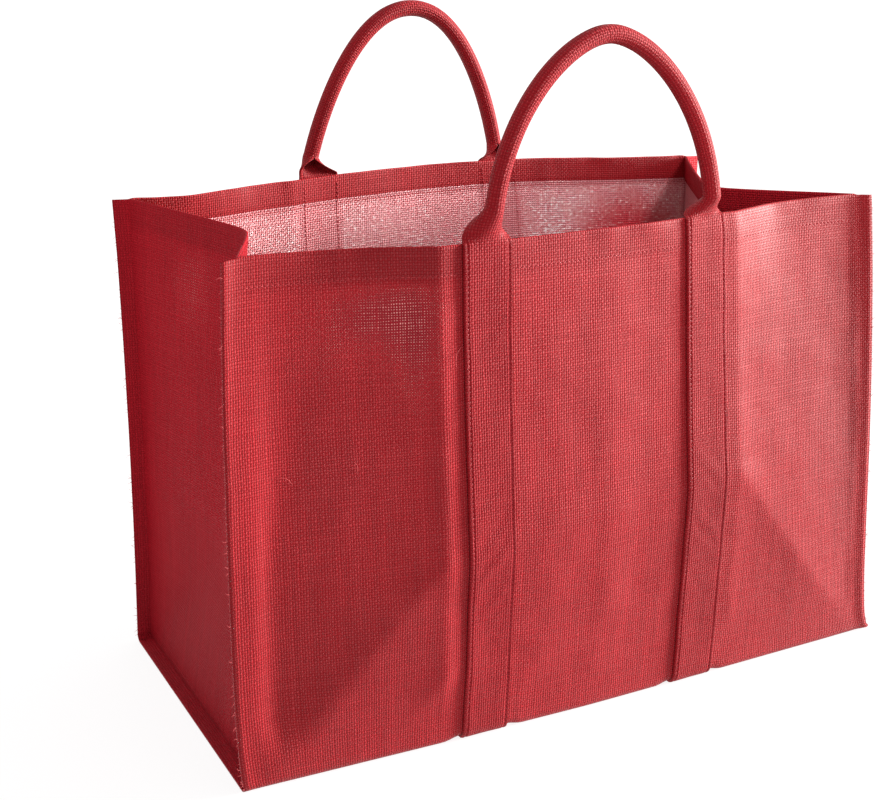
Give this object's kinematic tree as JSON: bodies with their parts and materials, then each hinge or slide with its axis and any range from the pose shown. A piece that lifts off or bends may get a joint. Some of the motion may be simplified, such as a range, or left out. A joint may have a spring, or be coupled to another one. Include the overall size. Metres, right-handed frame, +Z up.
{
  "type": "log carrier bag",
  "caption": "large open-topped jute carrier bag for firewood, with creased end panels, sewn straps and padded hand loops",
  "frame": {"origin": "on the floor under the middle of the base", "axes": "+Z up, X along the long side of the bag, the front face towards -Y"},
  "size_m": [0.6242, 0.3541, 0.5726],
  "materials": {
    "body_jute": "dyed plain-woven jute, coated on the inner face",
    "end_jute": "dyed plain-woven jute, coated on the inner face",
    "strap_jute": "dyed plain-woven jute, folded and stitched"
  },
  "bodies": {
    "root": {"body_cloth": "body_jute", "gusset_left": "end_jute", "gusset_right": "end_jute", "handle_strip_front": "strap_jute", "handle_strip_back": "strap_jute"}
  },
  "joints": []
}
